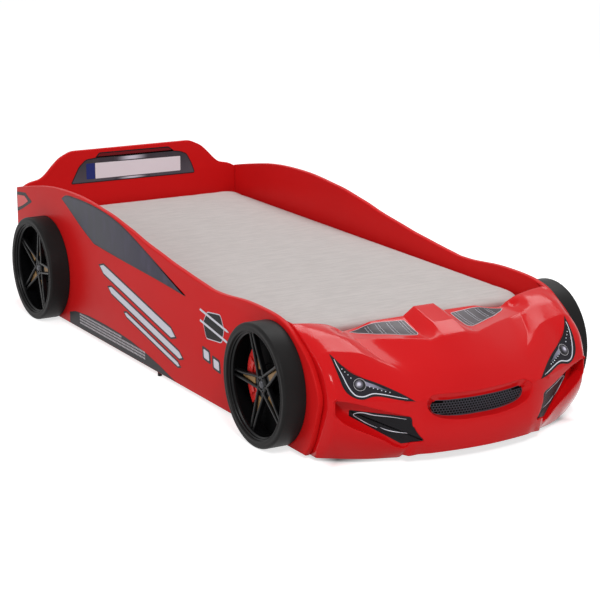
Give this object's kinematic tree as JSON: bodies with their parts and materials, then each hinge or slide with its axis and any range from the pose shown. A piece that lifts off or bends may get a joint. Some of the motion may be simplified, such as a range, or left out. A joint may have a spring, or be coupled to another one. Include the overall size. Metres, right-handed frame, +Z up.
{
  "type": "car bed",
  "caption": "Low single bed for a child in the shape of a sports car, with shaped side panels, fixed wheels, a moulded nose, a headboard, a slatted base and a mattress.",
  "frame": {"origin": "on the floor, at the middle of the bed's length and width", "axes": "+Z up, +Y from the nose towards the headboard, +X across the bed to the car's left side"},
  "size_m": [1.108, 2.44, 0.563],
  "materials": {
    "red_lacquer": "high gloss red lacquer on board",
    "red_moulding": "high gloss red",
    "dark_mesh": "satin dark grey",
    "lamp_print": "gloss black film with silver and white marks",
    "vent_print": "gloss grey film with pale louvre lines",
    "tyre": "satin near black",
    "rim": "gloss black",
    "bronze": "satin bronze",
    "cap": "gloss dark grey",
    "backing": "matt black",
    "caliper": "gloss red",
    "timber": "sanded softwood",
    "steel": "zinc plated",
    "glide": "satin black",
    "mattress_cover": "woven cotton cover"
  },
  "bodies": {
    "bed": {"side_panel_left": "red_lacquer", "side_panel_right": "red_lacquer", "headboard": "red_lacquer", "front_cross_panel": "red_lacquer", "nose_shell": "red_moulding", "grille_panel": "dark_mesh", "headlamp_left": "lamp_print", "headlamp_right": "lamp_print", "bonnet_vent_left": "vent_print", "bonnet_vent_right": "vent_print", "fog_panel_left": "lamp_print", "fog_panel_right": "lamp_print", "slat_rail_left": "timber", "slat_rail_right": "timber", "centre_beam": "timber", "beam_legs": "timber", "beam_shoes": "steel", "corner_brackets": "steel", "bracket_screws": "steel", "rail_screws": "steel", "wheel_screws": "steel", "nose_screws": "steel", "glides": "glide", "slat_01": "timber", "slat_02": "timber", "slat_03": "timber", "slat_04": "timber", "slat_05": "timber", "slat_06": "timber", "slat_07": "timber", "slat_08": "timber", "slat_09": "timber", "slat_10": "timber", "slat_11": "timber", "slat_12": "timber", "front_left_tyre": "tyre", "front_left_rim": "rim", "front_left_rim_inlays": "bronze", "front_left_hub_cap": "cap", "front_left_wheel_backing": "backing", "front_left_caliper": "caliper", "front_right_tyre": "tyre", "front_right_rim": "rim", "front_right_rim_inlays": "bronze", "front_right_hub_cap": "cap", "front_right_wheel_backing": "backing", "front_right_caliper": "caliper", "rear_left_tyre": "tyre", "rear_left_rim": "rim", "rear_left_rim_inlays": "bronze", "rear_left_hub_cap": "cap", "rear_left_wheel_backing": "backing", "rear_left_caliper": "caliper", "rear_right_tyre": "tyre", "rear_right_rim": "rim", "rear_right_rim_inlays": "bronze", "rear_right_hub_cap": "cap", "rear_right_wheel_backing": "backing", "rear_right_caliper": "caliper"},
    "mattress": {"mattress": "mattress_cover"}
  },
  "joints": [
    {"name": "mattress_lift", "type": "slide", "parent": "bed", "child": "mattress", "axis": [0, 0, 1], "range_m": [0, 0.3]}
  ]
}
